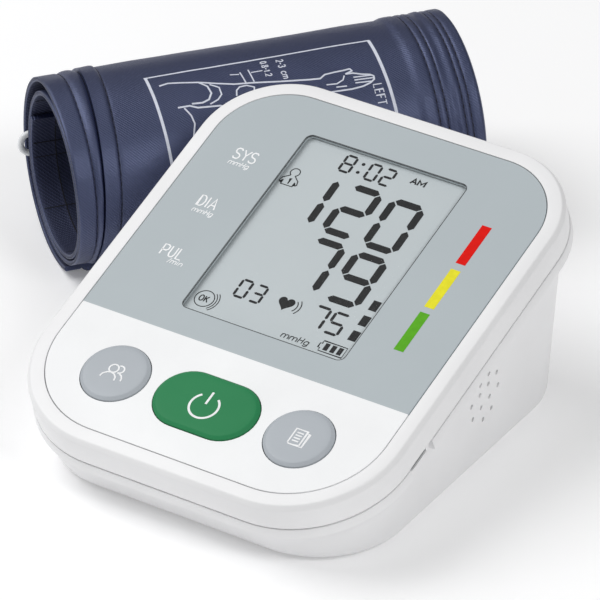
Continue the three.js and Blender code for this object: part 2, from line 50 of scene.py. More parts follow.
FACE_HALF, FACE_FRONT, FACE_REAR, FRONT_R, REAR_R = 66.55, -83.75, 76.65, 36.7, 29.7
RIM = 6.05
WINDOW = (30.07, -23.1, 56.35)
BUTTON_ROW = -55.46
ROUND_X, ROUND_R = 34.02, 11.34
GRAY_FROM = -33.6
PORT_Y = -39.35


# ---- camera, floor, light --------------------------------------------------------------------------
def camera():
    azimuth, elevation = math.radians(32.654), math.radians(32.38)
    back = Vector(
        (
            math.sin(azimuth) * math.cos(elevation),
            -math.cos(azimuth) * math.cos(elevation),
            math.sin(elevation),
        )
    )
    right = Vector((math.cos(azimuth), math.sin(azimuth), 0))
    up = back.cross(right)
    spot = FACE_ORIGIN + 0.558 * right - 5.723 * up + 1646.68 * back
    data = bpy.data.cameras.new("camera")
    data.lens = 313.84
    data.sensor_width = 36
    data.clip_start = 0.05
    data.clip_end = 20
    cam = bpy.data.objects.new("camera", data)
    turn = Matrix((right, up, back)).transposed().to_4x4()
    cam.matrix_world = Matrix.Translation(spot * MM) @ turn
    bpy.context.scene.collection.objects.link(cam)
    bpy.context.scene.camera = cam


def area_light(name, spot, target, size, power):
    data = bpy.data.lights.new(name, "AREA")
    data.shape = "RECTANGLE"
    data.size = size
    data.size_y = size
    data.energy = power
    lamp = bpy.data.objects.new(name, data)
    lamp.location = spot
    lamp.rotation_euler = (Vector(target) - Vector(spot)).to_track_quat("-Z", "Y").to_euler()
    bpy.context.scene.collection.objects.link(lamp)


# ---- materials -------------------------------------------------------------------------------------
class Nodes:
    """A small helper for writing a material's nodes."""

    def __init__(self, name):
        self.material = bpy.data.materials.new(name)
        self.material.use_nodes = True
        self.tree = self.material.node_tree
        self.shader = self.tree.nodes["Principled BSDF"]
        self.coords = self.tree.nodes.new("ShaderNodeTexCoord")

    def add(self, kind, values=(), **settings):
        node = self.tree.nodes.new(kind)
        for key, value in settings.items():
            setattr(node, key, value)
        for key, value in dict(values).items():
            node.inputs[key].default_value = value
        return node

    def link(self, source, target):
        self.tree.links.new(source, target)

    def fix(self, socket, value):
        self.shader.inputs[socket].default_value = value

    def colour(self, scale, detail, low, high):
        self.link(self.ramp(self.noise(scale, detail), low, high), self.shader.inputs["Base Color"])

    def roughness(self, scale, detail, low, high):
        self.link(self.spread(self.noise(scale, detail), low, high), self.shader.inputs["Roughness"])

    def noise(self, scale, detail=3.0, roughness=0.5, distortion=0.0):
        node = self.add(
            "ShaderNodeTexNoise",
            {"Scale": scale, "Detail": detail, "Roughness": roughness, "Distortion": distortion},
        )
        self.link(self.coords.outputs["Object"], node.inputs["Vector"])
        return node.outputs["Fac"]

    def ramp(self, source, low, high, stops=(0.35, 0.65)):
        node = self.add("ShaderNodeValToRGB")
        node.color_ramp.elements[0].position = stops[0]
        node.color_ramp.elements[1].position = stops[1]
        node.color_ramp.elements[0].color = (*low, 1)
        node.color_ramp.elements[1].color = (*high, 1)
        self.link(source, node.inputs["Fac"])
        return node.outputs["Color"]

    def spread(self, source, low, high):
        node = self.add("ShaderNodeMapRange", {"To Min": low, "To Max": high})
        self.link(source, node.inputs["Value"])
        return node.outputs["Result"]

    def math(self, operation, a, b=None):
        node = self.add("ShaderNodeMath", operation=operation)
        for value, socket in ((a, node.inputs[0]), (b, node.inputs[1])):
            if isinstance(value, (int, float)):
                socket.default_value = value
            elif value is not None:
                self.link(value, socket)
        return node.outputs[0]

    def bump(self, height, strength, distance, normal=None):
        node = self.add("ShaderNodeBump", {"Strength": strength, "Distance": distance})
        self.link(height, node.inputs["Height"])
        if normal is not None:
            self.link(normal, node.inputs["Normal"])
        self.link(node.outputs["Normal"], self.shader.inputs["Normal"])
        return node.outputs["Normal"]


def srgb(r, g, b):
    def lin(v):
        v /= 255
        return v / 12.92 if v <= 0.04045 else ((v + 0.055) / 1.055) ** 2.4

    return (lin(r), lin(g), lin(b))


def shade(colour, factor):
    return tuple(min(1.0, c * factor) for c in colour)


def plastic(name, colour, rough=0.42, grain=0.15, grain_scale=2600, specular=0.5, variation=0.03):
    """Moulded plastic: a fine spark-eroded grain, and a slightly uneven gloss."""
    n = Nodes(name)
    n.colour(22, 4, shade(colour, 1 - variation), shade(colour, 1 + variation))
    n.roughness(140, 3, rough - 0.05, rough + 0.06)
    n.bump(n.noise(grain_scale, 2, 0.6), grain, 0.00004)
    n.fix("Specular IOR Level", specular)
    return n.material


def metal(name, colour, rough=0.3):
    n = Nodes(name)
    n.colour(90, 5, shade(colour, 0.85), colour)
    n.roughness(400, 4, rough - 0.08, rough + 0.1)
    n.fix("Metallic", 1.0)
    n.bump(n.noise(1500, 3), 0.1, 0.00003)
    return n.material


def soft_rubber(name, colour, rough=0.75):
    n = Nodes(name)
    n.colour(60, 5, shade(colour, 0.85), shade(colour, 1.15))
    n.roughness(300, 3, rough - 0.1, rough + 0.1)
    n.bump(n.noise(1200, 4, 0.7), 0.25, 0.00006)
    return n.material


def ink(name, colour, rough=0.6):
    """A printed or etched colour with slightly uneven coverage."""
    n = Nodes(name)
    n.colour(500, 3, shade(colour, 0.95), shade(colour, 1.05))
    n.roughness(900, 2, rough - 0.05, rough + 0.05)
    n.fix("Specular IOR Level", 0.05)
    return n.material


def lens(name):
    """A clear cover: see-through, with a faint gloss."""
    n = Nodes(name)
    clear = n.add("ShaderNodeBsdfTransparent")
    gloss = n.add("ShaderNodeBsdfGlossy", {"Roughness": 0.06})
    facing = n.add("ShaderNodeLayerWeight", {"Blend": 0.35})
    share = n.math("MULTIPLY", n.math("POWER", facing.outputs["Facing"], 3.0), 0.05)
    mix = n.add("ShaderNodeMixShader")
    n.link(n.spread(n.noise(300, 2), 0.04, 0.09), gloss.inputs["Roughness"])
    n.link(share, mix.inputs[0])
    n.link(clear.outputs[0], mix.inputs[1])
    n.link(gloss.outputs[0], mix.inputs[2])
    n.link(mix.outputs[0], n.tree.nodes["Material Output"].inputs["Surface"])
    return n.material


RIB = 1.05


def twill(name, colour, scale, rough, sheen, strength, gloss=0.5):
    """Woven nylon twill: fine diagonal ribs of warp and weft, laid by the piece's own UV in mm."""
    n = Nodes(name)
    uv = n.add("ShaderNodeUVMap", uv_map="cloth")
    parts = n.add("ShaderNodeSeparateXYZ")
    n.link(uv.outputs["UV"], parts.inputs[0])
    u, v = parts.outputs["X"], parts.outputs["Y"]
    turns = 2 * math.pi / (RIB * scale)
    diagonal = n.math("SINE", n.math("MULTIPLY", n.math("ADD", u, v), turns))
    across = n.math("SINE", n.math("MULTIPLY", n.math("SUBTRACT", v, u), turns * 1.6))
    weave = n.math("ADD", n.math("MULTIPLY", diagonal, 0.6), n.math("MULTIPLY", across, 0.4))
    height = n.spread(weave, -0.2, 1.2)
    tone = n.math("ADD", n.math("MULTIPLY", height, 0.6), n.math("MULTIPLY", n.noise(45, 5, 0.6), 0.4))
    yarn = n.ramp(tone, shade(colour, 0.5), shade(colour, 1.6), (0.25, 0.8))
    n.link(yarn, n.shader.inputs["Base Color"])
    n.link(n.spread(height, rough + 0.08, rough - 0.06), n.shader.inputs["Roughness"])
    glint = n.math("MULTIPLY", n.noise(950, 1, 0.5), 1.3)
    height = n.math("ADD", n.math("MULTIPLY", height, 0.8), glint)
    n.fix("Sheen Weight", sheen)
    n.fix("Sheen Roughness", 0.35)
    n.fix("Sheen Tint", (0.75, 0.8, 1.0, 1))
    n.fix("Specular IOR Level", gloss)
    n.fix("Specular Tint", (0.55, 0.63, 1.0, 1))
    n.fix("IOR", 1.7)
    fine = n.bump(height, strength, 0.00012)
    n.bump(n.noise(130, 4, 0.6), 0.1, 0.0004, fine)
    return n.material


# ---- mesh helpers ----------------------------------------------------------------------------------
def make(name, verts, faces, material, body, sharp=32, place=None, smooth=True, uvs=None):
    """A mesh piece from millimetre points; place turns its own frame into the row frame."""
    mesh = bpy.data.meshes.new(name)
    place = place or Matrix.Identity(4)
    mesh.from_pydata([(place @ Vector(v)) * MM for v in verts], [], faces)
    mesh.update()
    bm = bmesh.new()
    bm.from_mesh(mesh)
    bmesh.ops.recalc_face_normals(bm, faces=bm.faces)
    bm.to_mesh(mesh)
    bm.free()
    if uvs is not None:
        layer = mesh.uv_layers.new(name="cloth")
        for loop in mesh.loops:
            layer.data[loop.index].uv = uvs[loop.vertex_index]
    if smooth:
        mesh.shade_smooth()
        mesh.set_sharp_from_angle(angle=math.radians(sharp))
    mesh.materials.append(material)
    obj = bpy.data.objects.new(name, mesh)
    bpy.context.scene.collection.objects.link(obj)
    if body:
        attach(obj, body)
    return obj


def arc(cx, cy, r, start, end, n):
    angles = [start + (end - start) * i / n for i in range(n + 1)]
    return [(cx + r * math.cos(a), cy + r * math.sin(a)) for a in angles]


def outline(half, front, rear, rf, rr, n=14):
    q = math.pi / 2
    rf, rr = max(rf, 0.05), max(rr, 0.05)
    return (
        arc(half - rf, front + rf, rf, -q, 0, n)
        + arc(half - rr, rear - rr, rr, 0, q, n)
        + arc(-half + rr, rear - rr, rr, q, 2 * q, n)
        + arc(-half + rf, front + rf, rf, 2 * q, 3 * q, n)
    )


def face_outline(inset, n=14):
    i = inset
    return outline(FACE_HALF - i, FACE_FRONT + i, FACE_REAR - i, FRONT_R - i, REAR_R - i, n)


def window_outline(margin, r=None, n=14):
    half, front, rear = WINDOW
    r = max(2.2 + margin, 0.4) if r is None else r
    return outline(half + margin, front - margin, rear + margin, r, r, n)


def slot_outline(margin, n=20):
    r = 11.25 + margin
    end = 18.1 - 11.25
    q = math.pi / 2
    return arc(end, BUTTON_ROW, r, -q, q, n) + arc(-end, BUTTON_ROW, r, q, 3 * q, n)


def disc_outline(x, y, r, n=48):
    return arc(x, y, r, 0, 2 * math.pi, n)[:-1]


def ring3(points, z):
    return [(x, y, z) for x, y in points]


def joined(count, n, base=0, closed=False):
    """The faces of a run of rings of n points: closed at both ends, or the last joined to the first."""
    faces = []
    for r in range(count if closed else count - 1):
        a, b = base + r * n, base + (r + 1) % count * n
        faces += [(a + i, a + (i + 1) % n, b + (i + 1) % n, b + i) for i in range(n)]
    if not closed:
        end = base + (count - 1) * n
        faces += [tuple(range(base, base + n))[::-1], tuple(range(end, end + n))]
    return faces


def stack(name, rings, material, body, place, closed=False, sharp=32):
    """A piece whose surface runs through rings of points one after another."""
    verts = [p for ring in rings for p in ring]
    faces = joined(len(rings), len(rings[0]), 0, closed)
    return make(name, verts, faces, material, body, sharp, place)


def slabs(pairs):
    """The points and faces of closed slabs, each from its low ring and its high ring."""
    verts, faces = [], []
    for low, high in pairs:
        faces += joined(2, len(low), len(verts))
        verts += low + high
    return verts, faces


def carve(obj, cutters, sharp=32):
    """Cuts the cutters out of obj for good, and removes them."""
    for cutter in cutters:
        mod = obj.modifiers.new("cut", "BOOLEAN")
        mod.operation = "DIFFERENCE"
        mod.solver = "EXACT"
        mod.object = cutter
    graph = bpy.context.evaluated_depsgraph_get()
    mesh = bpy.data.meshes.new_from_object(obj.evaluated_get(graph))
    obj.modifiers.clear()
    obj.data = mesh
    mesh.shade_smooth()
    mesh.set_sharp_from_angle(angle=math.radians(sharp))
    for cutter in cutters:
        bpy.data.objects.remove(cutter)
    return obj


def cutter(points, top, bottom, place=FACE):
    return stack("cutter", [ring3(points, -top), ring3(points, -bottom)], WHITE, None, place)


def hoop(centre, side, other, r, n):
    """A ring of points round a centre, in the plane of two directions at right angles."""
    return [centre + side * x + other * y for x, y in disc_outline(0, 0, r, n)]


def rod(name, a, b, radius, material, body, place, n):
    """A round bar between two points, with slightly eased ends."""
    a, b = Vector(a), Vector(b)
    axis = (b - a).normalized()
    side = axis.orthogonal().normalized()
    e = radius * 0.08
    ends = ((a, radius - e), (a + axis * e, radius), (b - axis * e, radius), (b, radius - e))
    rings = [hoop(at, side, axis.cross(side), r, n) for at, r in ends]
    return stack(name, rings, material, body, place)


# ---- the colours -----------------------------------------------------------------------------------
WHITE = plastic("white_abs", srgb(240, 240, 241), 0.38, 0.12)
WHITE_SATIN = plastic("white_film", srgb(242, 243, 244), 0.34, 0.08, 1800)
GRAY_FILM = plastic("gray_film", srgb(178, 187, 191), 0.4, 0.06, 1800, specular=0.3, variation=0.012)
BUTTON_GRAY = plastic("button_gray", srgb(176, 182, 188), 0.42, 0.12, specular=0.35)
BUTTON_GREEN = plastic("button_green", srgb(44, 130, 82), 0.5, 0.12, specular=0.16)
DARK = plastic("dark_abs", srgb(40, 42, 45), 0.5)
LCD = plastic("lcd_glass", srgb(190, 198, 201), 0.3, 0.03, 900, specular=0.2, variation=0.012)
# Painted shade: a dark gray that stands in for the shade on the window's upper walls and along its
# edge.
WINDOW_EDGE_SHADE = plastic("window_edge_shade", srgb(66, 70, 72), 0.5, 0.05)
SEGMENT = ink("lcd_segment", srgb(50, 51, 52), 0.35)
PRINT_WHITE = ink("print_white", srgb(246, 247, 248), 0.4)
RED = ink("print_red", srgb(222, 28, 22))
YELLOW = ink("print_yellow", srgb(233, 226, 52))
GREEN = ink("print_green", srgb(94, 172, 42))
CLEAR = lens("clear_lens")
STEEL = metal("steel", srgb(198, 200, 203))
RUBBER = soft_rubber("rubber", srgb(54, 55, 57))
SILICONE = soft_rubber("silicone", srgb(222, 222, 214), 0.5)
FOAM = soft_rubber("foam", srgb(104, 106, 110), 0.9)
BOARD = plastic("solder_mask", srgb(30, 104, 58), 0.4, 0.3, 300)
CELL = plastic("cell_wrap", srgb(46, 88, 60), 0.3, 0.05)
CLOTH = twill("navy_twill", srgb(24, 31, 64), 1.0, 0.36, 0.0, 0.6, 1.0)
LINING = twill("lining_cloth", srgb(36, 39, 64), 1.4, 0.55, 0.1, 1.0)
# Near black: painted shade in the seam grooves and at the foot of the strap's raised edge.
SEAM_SHADE = soft_rubber("seam_groove_shade", srgb(14, 15, 26), 0.8)
RING_STEEL = plastic("ring_enamel", srgb(236, 238, 240), 0.25, 0.05)
THREAD = soft_rubber("thread", srgb(40, 43, 68), 0.6)
CLOTH_PRINT = ink("cloth_print", srgb(214, 218, 230), 0.55)
HOOK = soft_rubber("hook_tape", srgb(46, 48, 62), 0.85)


# ---- flat marks ------------------------------------------------------------------------------------
def marks(name, polys, low, high, material, body="unit"):
    """Flat outlines on the face, raised between two heights; the tops of neighbours differ a little."""
    tops = [high + 0.004 * (index % 9) for index in range(len(polys))]
    verts, faces = slabs((ring3(poly, low), ring3(poly, top)) for poly, top in zip(polys, tops))
    return make(name, verts, faces, material, body, place=FACE, smooth=False)


def ribbon(points, width, closed=False):
    """A line of constant width through the points, as one polygon, or a ring of quads if closed."""
    pts = [Vector(p) for p in points]
    n = len(pts)
    left, right = [], []
    for i in range(n):
        before = pts[(i - 1) % n] if closed or i else pts[i]
        after = pts[(i + 1) % n] if closed or i < n - 1 else pts[i]
        along = (after - before).normalized()
        edge = (pts[i] - before) if before != pts[i] else (after - pts[i])
        stretch = 1 / max(0.55, abs(along.dot(edge.normalized())))
        side = Vector((-along.y, along.x)) * stretch * width / 2
        left.append(tuple(pts[i] + side))
        right.append(tuple(pts[i] - side))
    if not closed:
        return [right + left[::-1]]
    return [[right[i], right[(i + 1) % n], left[(i + 1) % n], left[i]] for i in range(n)]


def arc_points(cx, cy, r, start, end, n=20):
    return arc(cx, cy, r, math.radians(start), math.radians(end), n)


SEGMENTS = {
    "0": "abcdef",
    "1": "bc",
    "2": "abged",
    "3": "abgcd",
    "5": "afgcd",
    "7": "abc",
    "8": "abcdefg",
    "9": "abcdfg",
}


def digit(char, left, right, bottom, top, t, lean=0.0, nip=0.35):
    """The bars of one seven-segment figure; t is a bar's thickness and lean how far the top shifts."""
    h = t / 2
    x0, x1, y0, y1 = left + h, right - h, bottom + h, top - h
    ym = (y0 + y1) / 2

    def flat(y):
        a, b = x0 + nip, x1 - nip
        return [(a, y), (a + h, y - h), (b - h, y - h), (b, y), (b - h, y + h), (a + h, y + h)]

    def upright(x, low, high):
        a, b = low + nip, high - nip
        return [(x, a), (x + h, a + h), (x + h, b - h), (x, b), (x - h, b - h), (x - h, a + h)]

    bars = {
        "a": flat(y1),
        "d": flat(y0),
        "g": flat(ym),
        "b": upright(x1, ym, y1),
        "c": upright(x1, y0, ym),
        "e": upright(x0, y0, ym),
        "f": upright(x0, ym, y1),
    }
    shift = lambda p: (p[0] - lean * (p[1] - bottom) / (top - bottom), p[1])
    return [[shift(p) for p in bars[s]] for s in SEGMENTS[char]]


GLYPHS = {
    "S": [
        [
            (0.9, 0.86), (0.7, 1), (0.25, 1), (0.05, 0.86), (0.05, 0.68), (0.22, 0.55), (0.75, 0.46),
            (0.93, 0.32), (0.93, 0.14), (0.72, 0), (0.24, 0), (0.03, 0.15),
        ],
    ],
    "Y": [[(0, 1), (0.5, 0.46), (1, 1)], [(0.5, 0.46), (0.5, 0)]],
    "D": [
        [
            (0.08, 0), (0.08, 1), (0.55, 1), (0.85, 0.85), (0.98, 0.5), (0.85, 0.15), (0.55, 0),
            (0.08, 0),
        ],
    ],
    "I": [[(0.5, 0), (0.5, 1)]],
    "A": [[(0, 0), (0.5, 1), (1, 0)], [(0.18, 0.34), (0.82, 0.34)]],
    "P": [[(0.08, 0), (0.08, 1), (0.65, 1), (0.92, 0.88), (0.92, 0.6), (0.65, 0.46), (0.08, 0.46)]],
    "U": [[(0.08, 1), (0.08, 0.3), (0.22, 0.06), (0.5, 0), (0.78, 0.06), (0.92, 0.3), (0.92, 1)]],
    "L": [[(0.1, 1), (0.1, 0), (0.9, 0)]],
    "E": [[(0.9, 1), (0.1, 1), (0.1, 0), (0.9, 0)], [(0.14, 0.52), (0.8, 0.52)]],
    "F": [[(0.9, 1), (0.1, 1), (0.1, 0)], [(0.14, 0.52), (0.8, 0.52)]],
    "T": [[(0, 1), (1, 1)], [(0.5, 0.97), (0.5, 0)]],
    "0": [
        [
            (0.5, 0), (0.15, 0.15), (0.06, 0.5), (0.15, 0.85), (0.5, 1), (0.85, 0.85), (0.94, 0.5),
            (0.85, 0.15), (0.5, 0),
        ],
    ],
    "M": [[(0, 0), (0, 1), (0.5, 0.3), (1, 1), (1, 0)]],
    "O": [
        [
            (0.5, 0), (0.2, 0.08), (0.03, 0.35), (0.03, 0.65), (0.2, 0.92), (0.5, 1), (0.8, 0.92),
            (0.97, 0.65), (0.97, 0.35), (0.8, 0.08), (0.5, 0),
        ],
    ],
    "K": [[(0.08, 0), (0.08, 1)], [(0.9, 1), (0.1, 0.42)], [(0.36, 0.6), (0.95, 0)]],
    "H": [[(0.08, 0), (0.08, 1)], [(0.92, 0), (0.92, 1)], [(0.08, 0.52), (0.92, 0.52)]],
    "m": [
        [(0.03, 0), (0.03, 0.66)],
        [(0.03, 0.5), (0.17, 0.66), (0.38, 0.66), (0.5, 0.5), (0.5, 0)],
        [(0.5, 0.5), (0.64, 0.66), (0.85, 0.66), (0.97, 0.5), (0.97, 0)],
    ],
    "g": [
        [(0.9, 0.66), (0.9, -0.1), (0.7, -0.26), (0.3, -0.26), (0.1, -0.14)],
        [
            (0.9, 0.5), (0.65, 0.66), (0.3, 0.62), (0.08, 0.4), (0.1, 0.16), (0.32, 0), (0.65, 0.02),
            (0.9, 0.18),
        ],
    ],
    "/": [[(0.1, -0.08), (0.9, 1.05)]],
    "i": [[(0.5, 0), (0.5, 0.66)], [(0.5, 0.88), (0.5, 0.98)]],
    "n": [[(0.08, 0), (0.08, 0.66)], [(0.08, 0.46), (0.35, 0.66), (0.7, 0.64), (0.9, 0.45), (0.9, 0)]],
    "c": [
        [
            (0.9, 0.55), (0.65, 0.68), (0.3, 0.64), (0.06, 0.4), (0.06, 0.24), (0.3, 0.02),
            (0.65, 0), (0.9, 0.12),
        ],
    ],
    "1": [[(0.2, 0.78), (0.55, 1), (0.55, 0)]],
    "2": [[(0.06, 0.8), (0.3, 1), (0.7, 1), (0.92, 0.8), (0.9, 0.6), (0.05, 0), (0.95, 0)]],
    "3": [
        [(0.06, 0.85), (0.3, 1), (0.72, 0.98), (0.9, 0.78), (0.75, 0.56), (0.4, 0.53)],
        [(0.75, 0.56), (0.95, 0.3), (0.8, 0.06), (0.35, 0), (0.05, 0.16)],
    ],
    "8": [
        [
            (0.5, 0.53), (0.14, 0.7), (0.2, 0.95), (0.5, 1), (0.8, 0.95), (0.86, 0.7), (0.5, 0.53),
            (0.06, 0.3), (0.14, 0.05), (0.5, 0), (0.86, 0.05), (0.94, 0.3), (0.5, 0.53),
        ],
    ],
    "-": [[(0.1, 0.45), (0.9, 0.45)]],
    ".": [[(0.45, 0), (0.55, 0.08)]],
}
GLYPH_WIDTH = {"m": 1.5, "I": 0.35, "i": 0.35, "1": 0.7, "/": 0.6, "M": 1.2, "-": 0.8, ".": 0.4}


def lettering(text, x, y, height, width, line, spacing=0.3, lean=0.0):
    """Plain generic lettering: a list of outlines, with x, y the left end of the base line."""
    polys = []
    for char in text:
        w = width * GLYPH_WIDTH.get(char, 1.0)
        for stroke in GLYPHS.get(char, []):
            points = [(x + px * w + lean * py * height, y + py * height) for px, py in stroke]
            looped = len(points) > 3 and math.dist(points[0], points[-1]) < 1e-6
            polys += ribbon(points[:-1] if looped else points, line, looped)
        x += w + width * spacing
    return polys


# ---- the unit's housings ---------------------------------------------------------------------------
def button_holes(top):
    """The cutters of the three button holes, from a depth under the face down to 5."""
    holes = [cutter(disc_outline(s * ROUND_X, BUTTON_ROW, ROUND_R + 0.3), top, 5) for s in (-1, 1)]
    return holes + [cutter(slot_outline(0.3), top, 5)]


def upper_housing():
    n = 20
    wall = [(1.6, 10.15), (0.14, 10.15), (0, 10.0), (0, 1.9)]
    corner = [(0.08, 1.62), (0.95, 0.3), (1.2, 0.1), (1.6, 0)]
    profile = wall + corner + [(RIM - 0.42, 0), (RIM - 0.3, 0.12), (RIM - 0.3, 1.6)]
    rings = [ring3(face_outline(i, n), -d) for i, d in profile]
    rings += [ring3(window_outline(5.5, None, n), -1.6), ring3(window_outline(5.5, None, n), -3.4)]
    rings += [ring3(face_outline(2.2, n), -3.4), ring3(face_outline(2.2, n), -9.0)]
    shell = stack("upper_shell", rings, WHITE, "unit", FACE, closed=True, sharp=38)
    carve(shell, button_holes(1))
    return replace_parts(shell, "upper_housing")


def face_panel():
    n = 20
    rings = [
        ring3(face_outline(RIM, n), -0.12),
        ring3(face_outline(RIM + 0.1, n), 0),
        ring3(window_outline(0.12, 2.3, n), 0),
        ring3(window_outline(0, 2.2, n), -0.12),
        ring3(window_outline(0, 2.2, n), -0.5),
        ring3(window_outline(0, 2.2, n), -1.3),
        ring3(face_outline(RIM, n), -1.3),
    ]
    panel = stack("panel", rings, WHITE_SATIN, "unit", FACE, closed=True)
    carve(panel, button_holes(-1))
    border = FACE @ Vector((0, GRAY_FROM, 0)) * MM
    normal = (FACE.to_3x3() @ Vector((0, 1, 0))).normalized()
    bm = bmesh.new()
    bm.from_mesh(panel.data)
    everything = bm.verts[:] + bm.edges[:] + bm.faces[:]
    bmesh.ops.bisect_plane(bm, geom=everything, plane_co=border, plane_no=normal)
    slope = FACE.inverted()
    for face in bm.faces:
        middle = slope @ (face.calc_center_median() / MM)
        face.material_index = int(middle.y > GRAY_FROM)
        # In the window the upper wall takes the dark painted shade, and the deeper wall the LCD's
        # colour.
        if abs(middle.x) < WINDOW[0] + 0.05 and WINDOW[1] - 0.05 < middle.y < WINDOW[2] + 0.05:
            face.material_index = 2 if middle.z > -0.5 else 3
    bm.to_mesh(panel.data)
    bm.free()
    for material in (GRAY_FILM, WINDOW_EDGE_SHADE, LCD):
        panel.data.materials.append(material)
    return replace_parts(panel, "face_panel")


BASE_HALF, BASE_FRONT, BASE_REAR = 62, -67, 69.5
BASE_Z = -51.7
TABLE_Z = -FACE_ORIGIN.z
PARTING = 14.3


def lean(y):
    """How much the front or rear wall moves out with height, as a share of y."""
    return 0.08 / BASE_REAR if y > 0 else 0.42 / -BASE_FRONT


def lower_point(x, y, z):
    """A point of the base's outline moved out with height, as the walls lean."""
    height = z - TABLE_Z
    return (x * (1 + 0.035 * height / BASE_HALF), y * (1 + lean(y) * height), z)


def base_outline(inset, n):
    i = inset
    return outline(BASE_HALF - i, BASE_FRONT + i, BASE_REAR - i, 30 - i, 25 - i, n)


def lower_shell():
    n = 20
    rings = []
    edge = 3
    for i in range(5):
        a = math.radians(90 * i / 4)
        z = BASE_Z + edge * (1 - math.cos(a))
        rings.append([lower_point(x, y, z) for x, y in base_outline(edge * (1 - math.sin(a)), n)])
    base = base_outline(0, n)
    tops = []
    for x, y in base:
        k = lean(y)
        up = -PARTING + y * (1 - TABLE_Z * k) * math.sin(TILT)
        tops.append((x, y, up / (math.cos(TILT) - y * k * math.sin(TILT))))
    low = BASE_Z + edge
    for t in (0.12, 0.3, 0.5, 0.7, 0.85, 1.0):
        rings.append([lower_point(x, y, low + (top - low) * t) for x, y, top in tops])
    rings.append([(x * 0.93, y * 0.93, BASE_Z + 2.2) for x, y in base])
    *rings, bottom = [[tuple(FACE.inverted() @ (LEVEL @ Vector(p))) for p in ring] for ring in rings]
    inner = [(x * 0.95, y * 0.95, z) for x, y, z in rings[-1]]
    lip = [(3.0, 14.5), (0.3, 14.5), (-0.3, 14.42), (-0.6, 14.1), (-0.34, 10.62), (-0.22, 10.45)]
    lip += [(1.9, 10.45), (4.5, 14)]
    rings += [ring3(face_outline(i, n), -d) for i, d in lip]
    shell = stack("lower_shell", rings + [inner, bottom], WHITE, "unit", FACE)
    holes = []
    rows = ((2, 1.15, 1.5), (4, 0.5, 0.4), (4, -0.5, 0.0), (2, -1.5, 0.0))
    for count, row, shift in rows:
        for i in range(count):
            along = (i - (count - 1) / 2) * 5.2 + shift
            y = 10 + along * math.cos(TILT) - row * 1.6
            z = -26.3 + along * math.sin(TILT) + row * 5.3
            holes.append(rod("cutter", (56, y, z), (70, y, z), 0.85, WHITE, None, LEVEL, 20))
    notches = ((65, 6.45, -9, -14.6), (50, 4.75, -10.55, -14.25), (61, 6.05, -10.3, -12.4))
    for x, half, z0, z1 in notches:
        holes.append(box_cutter(x, 72, PORT_Y - half, PORT_Y + half, z0, z1, FACE))
    holes.append(rod("cutter", (-70, 16, -28), (-56, 16, -28), 5.2, WHITE, None, LEVEL, 40))
    holes.append(box_cutter(-33.0, 33.0, -8, 53, -54, -49.4))
    for x, y in ((-44, -40), (44, -40), (-44, 46), (44, 46)):
        holes.append(rod("cutter", (x, y, -53.5), (x, y, -50.9), 6.3, WHITE, None, LEVEL, 32))
    for x, y, depth in ((-50, -52, 24), (50, -52, 24), (-46, 34, 49), (46, 34, 49)):
        holes.append(rod("cutter", (x, y, -depth), (x, y, -95), 3.3, WHITE, None, FACE, 24))
    carve(shell, holes)
    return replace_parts(shell, "lower_housing")


def box_ring(x0, x1, y0, y1, z):
    return [(x0, y0, z), (x1, y0, z), (x1, y1, z), (x0, y1, z)]


def box_cutter(x0, x1, y0, y1, z0, z1, place=LEVEL):
    rings = [box_ring(x0, x1, y0, y1, z) for z in (z0, z1)]
    return stack("cutter", rings, WHITE, None, place)


# ---- buttons ---------------------------------------------------------------------------------------
BUTTON_PROFILE = [(1.3, -4.6), (1.3, -3.7), (0, -3.7), (0, 0.2), (-0.08, 0.36), (-0.95, 0.93)]
BUTTON_PROFILE += [(-1.12, 1.02), (-1.5, 1.08), (-3.2, 1.12)]


def button(name, ring, body, material, node):
    rings = [ring3(ring(grow), z) for grow, z in BUTTON_PROFILE]
    cap = stack(name, rings, material, body, FACE, sharp=27)
    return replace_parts(cap, node)


def buttons():
    for name, x in (("user", -ROUND_X), ("memory", ROUND_X)):
        ring = lambda grow, x=x: disc_outline(x, BUTTON_ROW, ROUND_R + grow, 64)
        button(f"{name}_cap", ring, f"{name}_key", BUTTON_GRAY, f"{name}_button")
    ring = lambda grow: slot_outline(grow, 32)
    button("power_cap", ring, "power_key", BUTTON_GREEN, "power_button")
    low, high = 1.1, 1.19
    cx, cy = 0.0, -56.5
    power = ribbon(arc_points(cx, cy, 4.85, 128, 412, 48), 0.75)
    power += ribbon([(cx, cy + 0.9), (cx, cy + 5.9)], 0.75)
    marks("power_mark", power, low, high, PRINT_WHITE, "power_key")
    users = ribbon(arc_points(-34.9, -54.6, 1.6, 0, 360, 24)[:-1], 0.52, True)
    shoulders = [(-37.6, -58.9), (-37.3, -57.6), (-36.2, -56.6), (-34.9, -56.2), (-33.6, -56.6)]
    users += ribbon(shoulders + [(-32.6, -57.5), (-32.3, -58.9)], 0.52)
    users += ribbon(arc_points(-32.8, -54.3, 1.45, -95, 120, 18), 0.52)
    users += ribbon([(-32.0, -55.9), (-31.0, -56.4), (-30.4, -57.3), (-30.2, -58.4)], 0.52)
    marks("user_mark", users, low, high, PRINT_WHITE, "user_key")
    sheet = [(31.9, -58.4), (31.9, -52.7), (36.0, -52.7), (36.0, -58.4), (34.2, -58.9), (32.4, -58.9)]
    page = ribbon(sheet + sheet[:1], 0.5)
    page += ribbon([(36.0, -53.4), (37.1, -53.4), (37.1, -58.9), (33.4, -58.9)], 0.5)
    for i in range(4):
        page += ribbon([(32.8, -54.0 - i * 1.1), (35.1, -54.0 - i * 1.1)], 0.5)
    marks("memory_mark", page, low, high, PRINT_WHITE, "memory_key")


# ---- the display and the prints ----------------------------------------------------------------------
def sunk(polys, depth):
    """Marks placed as they show on the face's plane, moved to where they lie at a depth under it."""
    return [[(x - 0.62 * depth, y + 0.70 * depth) for x, y in poly] for poly in polys]


def bar(x0, x1, y0, y1):
    return [(x0, y0), (x1, y0), (x1, y1), (x0, y1)]


